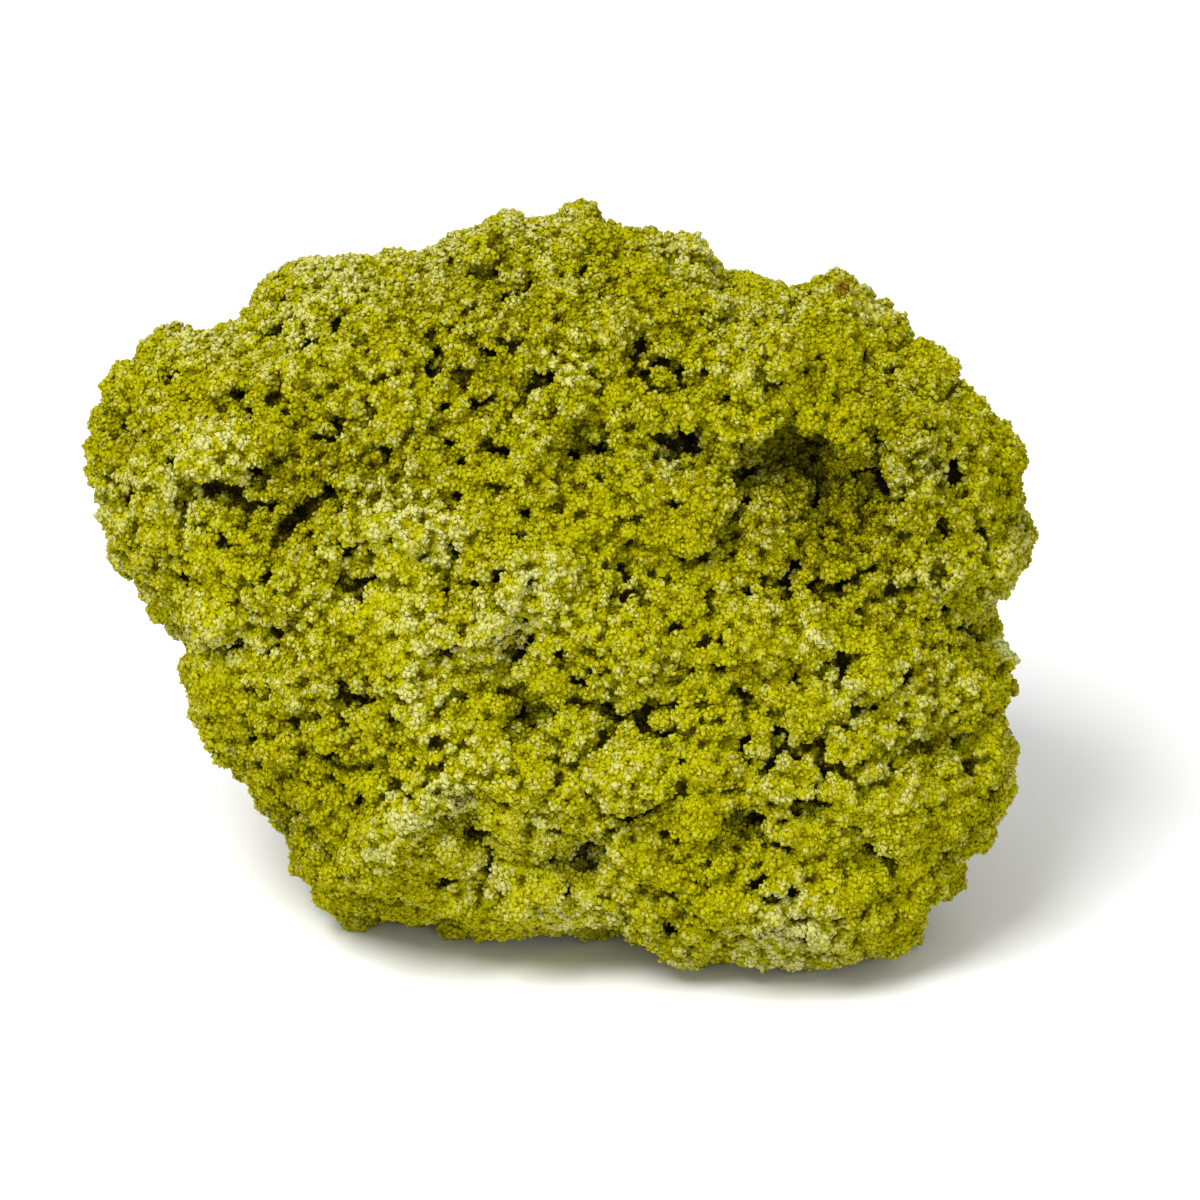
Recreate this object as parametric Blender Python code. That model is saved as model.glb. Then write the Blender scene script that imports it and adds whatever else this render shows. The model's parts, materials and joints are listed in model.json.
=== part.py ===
"""Nontronite specimen: one hand-sized mass of granular yellow-green clay mineral.

Units are metres, +Z is up and the mass rests on its flat base at z = 0, with the origin
at the middle of its box. Its broad face looks along -Y and leans back. The forms are
placed in that leaning face, in millimetres: across (to the right), up (along the face)
and out (away from it, towards the front).
"""

import math

import bmesh
import bpy
import numpy as np
from mathutils import Vector, noise

MM = 0.001
LEAN = math.radians(22.0)  # how far the broad face leans back

FRONT_DEPTH = 24.0  # mm from the rim to the front of the mass
BACK_DEPTH = 28.5  # mm from the rim to its back
FULLNESS = 0.80  # 1 is an ellipsoid, less is boxier
BASE_LEVEL = -30.6  # mm, height of the base plane in the leaning frame
SPHERE_STEPS = 7  # subdivisions of the starting sphere
KEPT_FACES = 10100  # triangles kept before the base is cut off
FRONT_CARE = 0.3  # how much more closely the front is kept than the back

# the rim seen from the front: across, up, out
RIM = [
    (-42.6, 12.2, 0), (-42.1, 16.2, 0), (-40.5, 19.6, 0), (-36.9, 22.2, 0), (-34.0, 23.3, 0),
    (-31.6, 22.9, 0), (-29.4, 24.3, -1), (-28.3, 26.5, -1), (-24.8, 28.9, -1), (-22.3, 30.3, -2),
    (-18.0, 29.5, -2), (-14.4, 30.4, -2), (-10.8, 31.0, -2), (-7.2, 32.6, -2), (-4.5, 34.3, -2),
    (-1.3, 33.6, -2), (1.2, 35.1, -2), (3.6, 34.1, -2), (5.4, 32.3, -2), (9.4, 31.9, -2),
    (12.6, 30.6, -2), (15.8, 28.6, -2), (19.8, 27.0, -1), (22.5, 26.7, -1), (24.2, 28.2, -1),
    (27.6, 27.2, -1), (31.0, 25.6, -1), (32.4, 22.9, 0), (35.0, 20.5, 0), (36.4, 17.8, 0),
    (38.9, 16.0, 0), (41.4, 13.2, 0), (42.0, 9.0, 0), (42.8, 4.0, 0), (42.1, 1.0, 0),
    (40.3, -0.6, 0), (39.8, -3.8, 0), (41.0, -7.0, 0), (41.2, -10.2, 0), (40.2, -11.9, 0),
    (41.6, -15.0, 1), (40.7, -18.0, 1), (40.5, -22.3, 1), (39.0, -23.9, 1), (37.2, -24.2, 1),
    (35.6, -27.9, 2), (33.1, -30.5, 2), (31.0, -33.2, 2), (27.0, -34.4, 2), (21.6, -34.4, 2),
    (16.2, -34.2, 2), (12.6, -34.3, 2), (8.4, -34.2, 1), (6.3, -32.4, 0), (3.6, -32.4, -1),
    (0.0, -31.8, -2), (-5.1, -32.2, -3), (-10.8, -32.2, -4), (-14.4, -31.0, -5),
    (-19.8, -30.4, -6), (-22.9, -28.6, -6), (-24.0, -26.1, -5), (-26.4, -21.8, -4),
    (-29.2, -17.6, -3), (-32.1, -13.9, -2), (-33.4, -9.9, -1), (-34.7, -5.4, 0),
    (-36.8, -3.8, 0), (-37.8, -1.0, 0), (-40.0, 1.5, 0), (-41.0, 4.0, 0), (-42.2, 7.2, 0),
]

# rounded forms on the front: across, up, half width, half height, turn in degrees, rise
SWELLS = [
    (-37.8, 12.0, 4.6, 9.0, 8, 2.6),  # lobe at the left end
    (-30.0, 13.0, 4.4, 3.8, 0, 1.8),  # rubbed plateau beside it
    (-17.5, 22.5, 10.0, 6.0, 8, 2.0),  # dome at the upper left
    (-2.0, 22.0, 7.0, 5.0, 0, 1.4),  # slope below the two top peaks
    (8.0, 25.5, 6.0, 5.5, 0, 1.6),
    (8.0, 16.8, 4.0, 3.0, 0, 1.6),
    (16.0, 20.6, 6.0, 3.6, -12, 2.2),  # bulge at the upper right, above the ledge
    (22.5, 17.6, 7.5, 3.2, -18, 2.8),
    (31.5, 15.0, 4.5, 3.4, -30, 2.4),
    (25.0, 24.5, 4.0, 3.2, 0, 1.7),  # knobs at the top right
    (30.5, 22.5, 3.0, 2.6, 0, 1.4),
    (31.2, 9.0, 2.4, 3.6, 8, 1.8),  # lobe down the right side
    (39.0, 6.5, 3.4, 6.0, 0, 2.2),
    (34.5, -0.4, 4.6, 3.2, 0, 2.0),
    (38.0, -8.0, 3.0, 4.0, 0, 1.8),
    (11.0, 6.6, 5.5, 3.8, -15, 2.4),  # shoulder to the left of the hollow
    (19.4, 5.4, 1.9, 1.9, 0, 2.6),  # lump inside the hollow
    (-1.8, 1.2, 5.5, 3.8, -10, 2.8),  # crest in the middle
    (-14.0, 5.0, 5.0, 2.6, 5, 1.8),
    (-8.6, -3.5, 4.5, 3.2, 0, 1.4),
    (16.0, -4.0, 4.2, 3.0, 0, 1.6),
    (7.0, -5.4, 3.6, 2.4, 0, 1.5),
    (6.0, -16.4, 5.0, 3.2, 10, 1.8),
    (22.6, -5.2, 3.4, 2.6, 0, 2.0),
    (29.0, -7.8, 4.4, 2.6, -15, 2.4),  # ledge at the right
    (24.5, -15.4, 3.6, 2.2, 0, 1.5),
    (31.5, -19.0, 4.4, 2.8, 0, 1.6),
    (19.8, -30.6, 6.5, 2.8, 0, 2.2),  # toe at the front
    (12.5, -17.2, 3.0, 2.0, 0, 1.0),
    (-3.0, -28.8, 5.0, 2.6, 0, 1.8),
    (-15.6, -25.6, 4.2, 3.0, 0, 1.5),
    (-11.0, -18.2, 2.8, 2.4, 0, 1.4),
    (-3.0, -17.6, 3.6, 2.2, 0, 1.6),
    (-31.5, -5.0, 3.0, 4.5, 15, 1.2),
    (-24.0, -1.4, 3.4, 2.6, 0, 1.2),
    (-22.4, -9.8, 3.0, 3.0, 0, 1.0),
]

# hollows on the front, in the same order, with their depth last
HOLLOWS = [
    (19.0, 9.0, 4.6, 2.2, -6, 5.5),  # dark hollow under the ledge, an arch of three parts
    (23.2, 7.0, 2.4, 3.9, 0, 6.5),
    (16.2, 5.0, 1.6, 2.8, -12, 4.0),
    (27.4, 7.2, 1.3, 3.6, 0, 4.5),
    (11.2, 11.3, 3.0, 1.2, 0, 3.4),
    (-34.4, 9.0, 1.3, 7.0, 6, 2.4),  # valley inside the left lobe
    (35.1, 9.3, 0.9, 1.7, 0, 3.4),  # pits of the right side
    (37.1, 12.4, 1.5, 0.8, 10, 2.4),
    (33.8, 4.1, 1.2, 1.0, 0, 2.8),
    (37.2, 3.9, 1.1, 0.9, 0, 2.6),
    (30.6, 3.0, 1.2, 1.6, 0, 1.8),
    (1.4, 11.2, 2.1, 1.4, -10, 2.8),  # pits of the middle
    (6.3, 3.0, 1.1, 1.0, 0, 2.2),
    (9.6, 0.9, 1.5, 0.9, -20, 2.2),
    (19.5, 0.3, 1.2, 1.1, 0, 2.4),
    (-26.3, 5.9, 1.3, 1.2, 0, 2.6),  # line of pits left of the middle
    (-25.7, 9.9, 1.1, 1.1, 0, 2.2),
    (-22.5, 5.9, 2.0, 0.9, 10, 2.0),
    (-19.4, 7.7, 1.2, 1.2, 0, 2.4),
    (-9.8, 12.1, 1.3, 1.1, 0, 1.8),
    (2.0, -8.4, 1.7, 1.1, 0, 3.0),  # pits under the middle crest
    (-2.4, -11.7, 1.8, 1.9, 0, 3.2),
    (-3.4, -7.6, 1.1, 1.0, 0, 2.0),
    (4.2, -11.9, 1.2, 1.0, 0, 1.9),
    (-9.4, -6.0, 0.9, 1.0, 0, 1.8),
    (16.5, -9.9, 1.3, 1.2, 0, 2.6),  # pits right of them
    (20.6, -8.6, 1.2, 1.3, 0, 2.4),
    (18.9, -13.0, 1.6, 1.2, 0, 2.0),
    (26.6, -11.4, 2.5, 1.1, -12, 3.0),  # shade under the right ledge
    (34.4, -14.8, 3.8, 1.1, 8, 3.2),
    (32.0, -3.2, 1.8, 1.2, 0, 2.0),
    (-14.1, -15.6, 1.1, 1.0, 0, 2.2),  # pits of the lower face
    (2.1, -24.8, 1.5, 2.1, 0, 3.8),
    (-8.6, -21.8, 1.6, 1.4, -30, 3.0),
    (-6.4, -23.9, 1.4, 1.2, -30, 2.6),
    (8.6, -27.6, 1.5, 1.2, 0, 2.6),
    (27.2, -23.8, 1.4, 1.2, 0, 2.4),
    (15.3, -21.6, 2.1, 1.2, 0, 2.0),
    (22.0, -19.8, 1.9, 1.2, 0, 2.0),
    (-10.6, -30.6, 2.3, 1.0, 0, 1.8),
    (-20.7, -16.2, 3.6, 1.3, -10, 1.4),
    (-18.6, -5.6, 1.2, 1.3, 0, 1.6),
    (-5.4, 27.6, 1.9, 2.1, 0, 1.8),  # pits of the upper slope
    (27.2, 19.6, 1.1, 1.1, 0, 2.2),
    (18.0, 17.3, 1.6, 1.1, 30, 2.2),
    (11.3, 21.1, 1.3, 1.0, 0, 1.6),
    (-18.0, 25.4, 1.1, 1.0, 0, 1.5),
    (-10.9, 19.8, 1.1, 1.1, 0, 1.5),
    (-28.4, 16.1, 1.4, 1.0, 0, 1.4),
]

# crests that run across the front: half width, then across, up, rise at each point
CRESTS = [
    (2.2, [(-20.0, 2.6, 0.8), (-15.0, 5.2, 1.4), (-8.0, 4.6, 1.4), (-1.8, 1.4, 1.8)]),
    (2.2, [(-1.8, 1.2, 1.6), (-6.0, -3.6, 1.6), (-12.4, -6.0, 1.6), (-12.8, -11.0, 1.4)]),
    (2.2, [(-12.8, -11.0, 1.4), (-15.6, -19.8, 1.2), (-13.0, -25.0, 1.0)]),
    (1.8, [(-13.0, -12.6, 0.8), (-6.0, -16.4, 1.2), (-1.0, -20.8, 1.0)]),
    (1.8, [(-41.6, 9.4, 0.6), (-37.0, 5.6, 1.3), (-33.6, 2.8, 0.8)]),
    (1.6, [(8.0, 14.2, 0.8), (15.0, 13.2, 1.8), (23.0, 13.5, 2.0), (30.0, 12.0, 1.4)]),
]

# broken faces of the back and the sides: outward direction (across, up, out) and distance
FACETS = [
    ((0.30, 0.50, -0.81), 28.5),
    ((-0.62, 0.16, -0.77), 31.0),
    ((0.78, -0.05, -0.62), 34.5),
    ((-0.12, 0.90, -0.42), 31.5),
    ((-0.20, -0.30, -0.93), 28.0),
]
FACET_KEPT = 0.14  # share of the height left standing past a broken face

# rounded forms of the back and the sides: outward direction, radius and rise
BACK_FORMS = [
    ((0.15, -0.62, -0.77), 12.0, 4.0),  # heel that it rests on
    ((0.40, 0.22, -0.89), 8.5, -3.6),  # scoop, with a shelf under it
    ((0.34, -0.12, -0.93), 6.0, 2.2),
    ((-0.42, 0.20, -0.88), 8.0, 2.4),
    ((-0.30, -0.36, -0.88), 6.5, -2.6),
    ((-0.16, 0.72, -0.67), 6.0, -2.6),
    ((0.30, 0.80, -0.52), 6.0, 1.8),
    ((0.85, 0.16, -0.50), 6.5, 2.0),
    ((0.78, -0.34, -0.52), 6.0, -2.6),
    ((-0.88, 0.06, -0.47), 5.5, -2.2),
    ((-0.66, 0.52, -0.54), 5.5, 1.8),
    ((-0.62, -0.48, -0.62), 6.0, 1.6),
]

# pits scattered over the back and the sides
PIT_COUNT = 90
PIT_RADIUS = (1.0, 2.6)  # mm, least and most
PIT_DEPTH = 1.1  # of the radius
PIT_SEED = 7
UNDERCUT = 0.14  # how far a form leans down for each mm of its height, so that ledges overhang

# unevenness of the whole surface, in mm: size of the lumps and the depth between them
KNOLLS = (15.0, 1.8)
CLUSTERS = (5.0, 2.1)
NUBS = (2.8, 0.7)
TOPS = 0.60  # mm that the tops of the clusters stand out past the plain form


def smoothed(x):
    """Ease a share from 0 to 1."""
    t = np.clip(x, 0.0, 1.0)
    return t * t * (3.0 - 2.0 * t)


def rim_at(angle):
    """Radius and out of the rim at each angle about its middle."""
    rim = np.array(RIM)
    angles = np.arctan2(rim[:, 1], rim[:, 0])
    order = np.argsort(angles)
    turn = 2.0 * math.pi
    radius = np.interp(angle, angles[order], np.hypot(rim[:, 0], rim[:, 1])[order], period=turn)
    out = np.interp(angle, angles[order], rim[order, 2], period=turn)
    return radius, out


def bulged(direction):
    """Blow a unit sphere up into the mass: the rim at its waist, deeper at the back."""
    waist = np.hypot(direction[:, 0], direction[:, 1])
    radius, rim_out = rim_at(np.arctan2(direction[:, 1], direction[:, 0]))
    spread = waist**FULLNESS * radius / np.maximum(waist, 1e-9)
    depth = np.where(direction[:, 2] > 0.0, FRONT_DEPTH, BACK_DEPTH)
    out = np.sign(direction[:, 2]) * np.abs(direction[:, 2]) ** FULLNESS * depth
    out += rim_out * waist**4
    return np.column_stack([direction[:, 0] * spread, direction[:, 1] * spread, out])


def broken(points):
    """Knock the mass back to its broken faces."""
    for direction, distance in FACETS:
        normal = np.array(direction) / np.linalg.norm(direction)
        past = points @ normal - distance
        points = points - np.outer(np.maximum(past, 0.0) * (1.0 - FACET_KEPT), normal)
    return points


def mound(points, across, up, half_width, half_height, turn):
    """How much of a rounded form each point has, from 0 to 1."""
    angle = math.radians(turn)
    x = points[:, 0] - across
    y = points[:, 1] - up
    along = (x * math.cos(angle) + y * math.sin(angle)) / half_width
    over = (y * math.cos(angle) - x * math.sin(angle)) / half_height
    return np.exp(-((along**2 + over**2) ** 1.3))


def crest(points, half_width, line):
    """Rise of a crest that follows a line of points."""
    rise = np.zeros(len(points))
    for (ax, ay, a_rise), (bx, by, b_rise) in zip(line, line[1:]):
        run = np.array([bx - ax, by - ay])
        offset = points[:, :2] - np.array([ax, ay])
        share = np.clip(offset @ run / (run @ run), 0.0, 1.0)
        distance = np.linalg.norm(offset - np.outer(share, run), axis=1)
        here = (a_rise + (b_rise - a_rise) * share) * np.exp(-((distance / half_width) ** 2))
        rise = np.maximum(rise, here)
    return rise


def sculpted(points, direction):
    """Raise the swells and crests of the front and sink its hollows."""
    facing = smoothed((direction[:, 2] + 0.05) / 0.35)
    raised = np.zeros(len(points))
    for across, up, half_width, half_height, turn, rise in SWELLS:
        raised += rise * mound(points, across, up, half_width, half_height, turn)
    for half_width, line in CRESTS:
        raised += crest(points, half_width, line)
    sunk = np.zeros(len(points))
    for across, up, half_width, half_height, turn, depth in HOLLOWS:
        sunk += depth * mound(points, across, up, half_width, half_height, turn)
    moved = points.copy()
    moved[:, 2] += facing * (raised - sunk)
    moved[:, 1] += facing * UNDERCUT * (sunk - raised)
    return moved


def back_rise(points, direction):
    """Rise of the forms and pits of the back and the sides at each point."""
    rise = np.zeros(len(points))
    for outward, radius, height in BACK_FORMS:
        centre = points[np.argmax(direction @ (np.array(outward) / np.linalg.norm(outward)))]
        distance = np.linalg.norm(points - centre, axis=1) / radius
        rise += height * np.exp(-(distance**2))
    draw = np.random.default_rng(PIT_SEED)
    behind = np.flatnonzero(direction[:, 2] < 0.0)
    for centre in points[draw.choice(behind, PIT_COUNT)]:
        radius = draw.uniform(*PIT_RADIUS)
        distance = np.linalg.norm(points - centre, axis=1) / radius
        rise -= PIT_DEPTH * radius * np.exp(-(distance**3))
    return rise


def knoll_rise(point):
    """Broad unevenness at a point, from -1 to 1."""
    return noise.noise(Vector(point) / KNOLLS[0])


def crease_depth(point, size):
    """Rounded tops at 0 and the creases between them near 1."""
    nearest = noise.voronoi(Vector(point) / size)[0][0]
    return min(nearest / 0.8, 1.0) ** 2.0


def lumped(points, normals, direction):
    """Cover the mass with knolls, clusters and nubs."""
    behind = smoothed(-2.0 * direction[:, 2])  # the broad knolls keep off the front
    forms = back_rise(points, direction)
    moved = points.copy()
    for i, point in enumerate(points):
        rise = TOPS + forms[i] + KNOLLS[1] * knoll_rise(point) * behind[i]
        rise -= CLUSTERS[1] * crease_depth(point, CLUSTERS[0])
        rise -= NUBS[1] * crease_depth(point + 40.0, NUBS[0])
        moved[i] += normals[i] * rise
    return moved


def vertex_array(bm):
    return np.array([vertex.co for vertex in bm.verts])


def move_vertices(bm, places):
    for vertex, place in zip(bm.verts, places):
        vertex.co = place
    bm.normal_update()


def stood_up(points):
    """Turn the leaning face's across, up and out into x, y and z, above the base plane."""
    across, up, out = points.T
    back = up * math.sin(LEAN) - out * math.cos(LEAN)
    height = up * math.cos(LEAN) + out * math.sin(LEAN) - BASE_LEVEL
    return np.column_stack([across, back, height])


def shaped_mass():
    """The whole mass as a mesh, in mm, before its base is cut."""
    bm = bmesh.new()
    bmesh.ops.create_icosphere(bm, subdivisions=SPHERE_STEPS, radius=1.0)
    direction = vertex_array(bm)
    direction /= np.linalg.norm(direction, axis=1)[:, None]
    body = sculpted(broken(bulged(direction)), direction)
    move_vertices(bm, body)
    normals = np.array([vertex.normal for vertex in bm.verts])
    move_vertices(bm, lumped(body, normals, direction))
    move_vertices(bm, stood_up(vertex_array(bm)))
    return bm, np.maximum(1.0 - smoothed((direction[:, 2] + 0.3) / 0.5), 0.01)


def thinned(bm, back_weights):
    """Thin the mesh with a Decimate modifier that keeps more of the front."""
    mesh = bpy.data.meshes.new("thinning")
    ratio = KEPT_FACES / len(bm.faces)
    bm.to_mesh(mesh)
    bm.free()
    holder = bpy.data.objects.new("thinning", mesh)
    bpy.context.scene.collection.objects.link(holder)
    back = holder.vertex_groups.new(name="back")
    for i, weight in enumerate(back_weights):
        back.add([i], float(weight), "REPLACE")
    thin = holder.modifiers.new("thin", "DECIMATE")
    thin.ratio = ratio
    thin.vertex_group = back.name
    thin.vertex_group_factor = FRONT_CARE
    graph = bpy.context.evaluated_depsgraph_get()
    result = bmesh.new()
    result.from_mesh(bpy.data.meshes.new_from_object(holder.evaluated_get(graph)))
    bpy.data.objects.remove(holder)
    return result


def drop_crumbs(bm):
    """Keep only the largest connected part of the mesh."""
    left = set(bm.verts)
    parts = []
    while left:
        part = {left.pop()}
        edge_of_part = list(part)
        while edge_of_part:
            vertex = edge_of_part.pop()
            for edge in vertex.link_edges:
                other = edge.other_vert(vertex)
                if other in left:
                    left.remove(other)
                    part.add(other)
                    edge_of_part.append(other)
        parts.append(part)
    parts.sort(key=len)
    crumbs = [vertex for part in parts[:-1] for vertex in part]
    bmesh.ops.delete(bm, geom=crumbs, context="VERTS")


def cut_base(bm):
    """Cut the mass off flat at z = 0 and close the cut with one face."""
    everything = bm.verts[:] + bm.edges[:] + bm.faces[:]
    bmesh.ops.bisect_plane(bm, geom=everything, dist=0.02, plane_co=(0, 0, 0),
                           plane_no=(0, 0, 1), clear_inner=True)
    drop_crumbs(bm)
    rim = [edge for edge in bm.edges if edge.is_boundary]
    bmesh.ops.holes_fill(bm, edges=rim, sides=0)
    bmesh.ops.triangulate(bm, faces=bm.faces[:])
    bmesh.ops.recalc_face_normals(bm, faces=bm.faces[:])


def centred(bm):
    """Put the middle of the box over the origin and turn millimetres into metres."""
    places = vertex_array(bm)
    middle = (places.min(axis=0) + places.max(axis=0)) / 2.0
    middle[2] = 0.0
    move_vertices(bm, (places - middle) * MM)


def mineral():
    """Dull olive-yellow clay mineral."""
    material = bpy.data.materials.new("nontronite")
    material.use_nodes = True
    surface = material.node_tree.nodes["Principled BSDF"]
    surface.inputs["Base Color"].default_value = (0.36, 0.335, 0.03, 1.0)
    surface.inputs["Roughness"].default_value = 0.95
    surface.inputs["Metallic"].default_value = 0.0
    return material


def build():
    for old in list(bpy.data.objects):
        bpy.data.objects.remove(old)
    group = bpy.data.collections.new("nontronite_specimen")
    bpy.context.scene.collection.children.link(group)
    whole, back_weights = shaped_mass()
    bm = thinned(whole, back_weights)
    cut_base(bm)
    centred(bm)
    mesh = bpy.data.meshes.new("nontronite")
    bm.to_mesh(mesh)
    bm.free()
    mesh.materials.append(mineral())
    group.objects.link(bpy.data.objects.new("nontronite", mesh))


build()
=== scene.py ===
import json
import math
import bpy
import bmesh
import numpy as np
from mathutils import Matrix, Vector

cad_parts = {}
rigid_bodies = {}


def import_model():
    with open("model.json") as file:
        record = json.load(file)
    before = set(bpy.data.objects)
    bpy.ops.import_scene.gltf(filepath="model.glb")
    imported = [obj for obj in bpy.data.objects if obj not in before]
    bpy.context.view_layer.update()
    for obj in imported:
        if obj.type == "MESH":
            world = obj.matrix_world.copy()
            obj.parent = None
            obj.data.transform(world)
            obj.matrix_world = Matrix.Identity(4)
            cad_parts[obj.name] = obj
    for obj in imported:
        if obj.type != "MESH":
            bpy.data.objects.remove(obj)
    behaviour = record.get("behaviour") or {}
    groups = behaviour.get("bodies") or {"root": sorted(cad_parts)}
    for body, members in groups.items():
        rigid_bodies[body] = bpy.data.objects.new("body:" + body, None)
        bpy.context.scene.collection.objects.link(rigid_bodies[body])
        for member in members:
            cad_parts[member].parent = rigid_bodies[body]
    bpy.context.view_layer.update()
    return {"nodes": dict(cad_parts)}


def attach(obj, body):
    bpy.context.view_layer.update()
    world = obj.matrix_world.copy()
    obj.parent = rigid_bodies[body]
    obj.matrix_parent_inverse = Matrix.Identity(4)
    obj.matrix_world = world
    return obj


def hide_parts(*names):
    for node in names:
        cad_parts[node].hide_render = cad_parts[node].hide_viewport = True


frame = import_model()

# lengths are metres, and millimetres where a name ends in Mm or a comment says so
mm = 0.001
lean = math.radians(22)  # how far the broad face leans back
faceOriginMm = (0.166, -0.839, 30.6)  # where across, up and out of that face start
floatKind, wholeKind = "NodeSocketFloat", "NodeSocketInt"
fullTurn = 6.28  # radians


class Wire:
    # one output socket of a node tree, with sums written as plain expressions
    def __init__(self, tree, node, out=0):
        self.tree = tree
        self.node = node
        self.socket = node.outputs[out]

    def out(self, name):
        return Wire(self.tree, self.node, name)

    def make(self, kind, settings=None, values=None, out=0):
        node = self.tree.nodes.new(kind)
        for name, value in (settings or {}).items():
            if name == "stops":
                setStops(node.color_ramp, value)
            else:
                setattr(node, name, value)
        for name, value in (values or {}).items():
            several = value if isinstance(value, list) else [value]
            for item in several:
                if isinstance(item, Wire):
                    self.tree.links.new(item.socket, node.inputs[name])
                else:
                    node.inputs[name].default_value = item
        return Wire(self.tree, node, out)

    def maths(self, operation, a, b=0.0, clamp=False):
        return self.make("ShaderNodeMath", {"operation": operation, "use_clamp": clamp}, {0: a, 1: b})

    def __add__(self, other):
        return self.maths("ADD", self, other)

    def __radd__(self, other):
        return self.maths("ADD", other, self)

    def __sub__(self, other):
        return self.maths("SUBTRACT", self, other)

    def __rsub__(self, other):
        return self.maths("SUBTRACT", other, self)

    def __mul__(self, other):
        return self.maths("MULTIPLY", self, other)

    def __rmul__(self, other):
        return self.maths("MULTIPLY", other, self)

    def __truediv__(self, other):
        return self.maths("DIVIDE", self, other)

    def __rtruediv__(self, other):
        return self.maths("DIVIDE", other, self)

    def __pow__(self, other):
        return self.maths("POWER", self, other)

    def clipped(self):
        return self.maths("ADD", self, 0.0, clamp=True)

    def over(self, low, high):
        # eased share of the way from low to high
        return self.make("ShaderNodeMapRange", {"interpolation_type": "SMOOTHSTEP"},
                         {"Value": self, "From Min": low, "From Max": high})

    def blended(self, colourA, colourB):
        return self.make("ShaderNodeMix", {"data_type": "RGBA"}, {0: self, 6: colourA, 7: colourB}, 2)

    def scaled(self, vector):
        return self.make("ShaderNodeVectorMath", {"operation": "SCALE"}, {0: vector, "Scale": self})


def setStops(ramp, stops):
    for i, (place, colour) in enumerate(stops):
        stop = ramp.elements[i] if i < 2 else ramp.elements.new(place)
        stop.position = place
        stop.color = (*colour, 1)


# small helpers for geometry trees

def newTree(name, inputs):
    tree = bpy.data.node_groups.new(name, "GeometryNodeTree")
    tree.interface.new_socket("Geometry", in_out="INPUT", socket_type="NodeSocketGeometry")
    tree.interface.new_socket("Geometry", in_out="OUTPUT", socket_type="NodeSocketGeometry")
    for label, kind in inputs.items():
        tree.interface.new_socket(label, in_out="INPUT", socket_type=kind)
    return Wire(tree, tree.nodes.new("NodeGroupInput"))


def endTree(last):
    end = last.tree.nodes.new("NodeGroupOutput")
    last.tree.links.new(last.socket, end.inputs[0])
    return last.tree


def grow(piece, tree, values):
    # put a geometry tree on a piece with its named inputs
    modifier = piece.modifiers.new(tree.name, "NODES")
    modifier.node_group = tree
    for item in tree.interface.items_tree:
        if item.in_out == "INPUT" and item.name in values:
            modifier[item.identifier] = values[item.name]


def fuse(piece, voxel):
    modifier = piece.modifiers.new("fuse", "REMESH")
    modifier.mode = "VOXEL"
    modifier.voxel_size = voxel


def bake(piece):
    # turn a piece and its modifiers into a plain mesh
    graph = bpy.context.evaluated_depsgraph_get()
    mesh = bpy.data.meshes.new_from_object(piece.evaluated_get(graph))
    piece.modifiers.clear()
    old = piece.data
    piece.data = mesh
    bpy.data.meshes.remove(old)


def newPiece(name, mesh):
    mesh.name = name
    piece = bpy.data.objects.new(name, mesh)
    bpy.context.scene.collection.objects.link(piece)
    return piece


def drop(*pieces):
    for piece in pieces:
        bpy.data.objects.remove(piece)


def keep(geometry, name, value, kind="FLOAT"):
    return geometry.make("GeometryNodeStoreNamedAttribute", {"data_type": kind, "domain": "POINT"},
                         {"Geometry": geometry, "Name": name, "Value": value})


def kept(start, name, kind="FLOAT"):
    return start.make("GeometryNodeInputNamedAttribute", {"data_type": kind}, {"Name": name})


def drawn(start, kind, values, seed):
    # a random value for every point
    first = {"FLOAT": 2, "FLOAT_VECTOR": 0, "INT": 4}[kind]
    out = {"FLOAT": 1, "FLOAT_VECTOR": 0, "INT": 2}[kind]
    return start.make("FunctionNodeRandomValue", {"data_type": kind},
                      {first: values[0], first + 1: values[1], "Seed": seed}, out)


# the skin that everything grows on

skinSizes = {"weld": 0.001 * mm, "voxel": 0.8 * mm, "softening": 6, "inset": 0.35 * mm}


def makeSkin(node):
    bm = bmesh.new()
    bm.from_mesh(node.data)
    bmesh.ops.remove_doubles(bm, verts=bm.verts, dist=skinSizes["weld"])
    mesh = bpy.data.meshes.new("skin")
    bm.to_mesh(mesh)
    bm.free()
    skin = newPiece("skin", mesh)
    fuse(skin, skinSizes["voxel"])
    soften = skin.modifiers.new("soften", "SMOOTH")
    soften.iterations = skinSizes["softening"]
    inset = skin.modifiers.new("inset", "DISPLACE")
    inset.strength = -skinSizes["inset"]
    inset.mid_level = 0
    bake(skin)
    sinkPits(skin.data, [place for place in hollows if place[3] >= pitSizes["broad"]])
    print("skin", len(skin.data.polygons))
    return skin


# lumps: clusters fused over a sunken core, with gaps left between them

lumpSizes = {
    "clusters": {"gap": 2.1 * mm, "least": 0.92 * mm, "most": 2.60 * mm, "sunk": 0.65, "crown": 0.55 * mm,
                 "core": 1.25 * mm, "seed": 3, "voxel": 0.36 * mm},
    "nubs": {"gap": 1.17 * mm, "least": 0.55 * mm, "most": 1.10 * mm, "sunk": 0.30, "crown": 0.55 * mm,
             "core": 0.66 * mm, "seed": 8, "voxel": 0.28 * mm},
}
lumpShape = {
    "crowd": 5e6,  # lumps a square metre, so many that the gap alone sets how far apart they are
    "crest": (-0.90, -0.40),  # millimetres: none grow where the surface is lower than the first
    "rarity": 2.2,  # above 1 makes big lumps rarer
    "stretch": ((0.75, 0.75, 0.75), (1.25, 1.25, 1.25)),
    "turn": ((0, 0, 0), (fullTurn, fullTurn, fullTurn)),
    "roundness": 2,
    "seeds": {"size": 7, "stretch": 11, "turn": 5},
}


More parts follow.
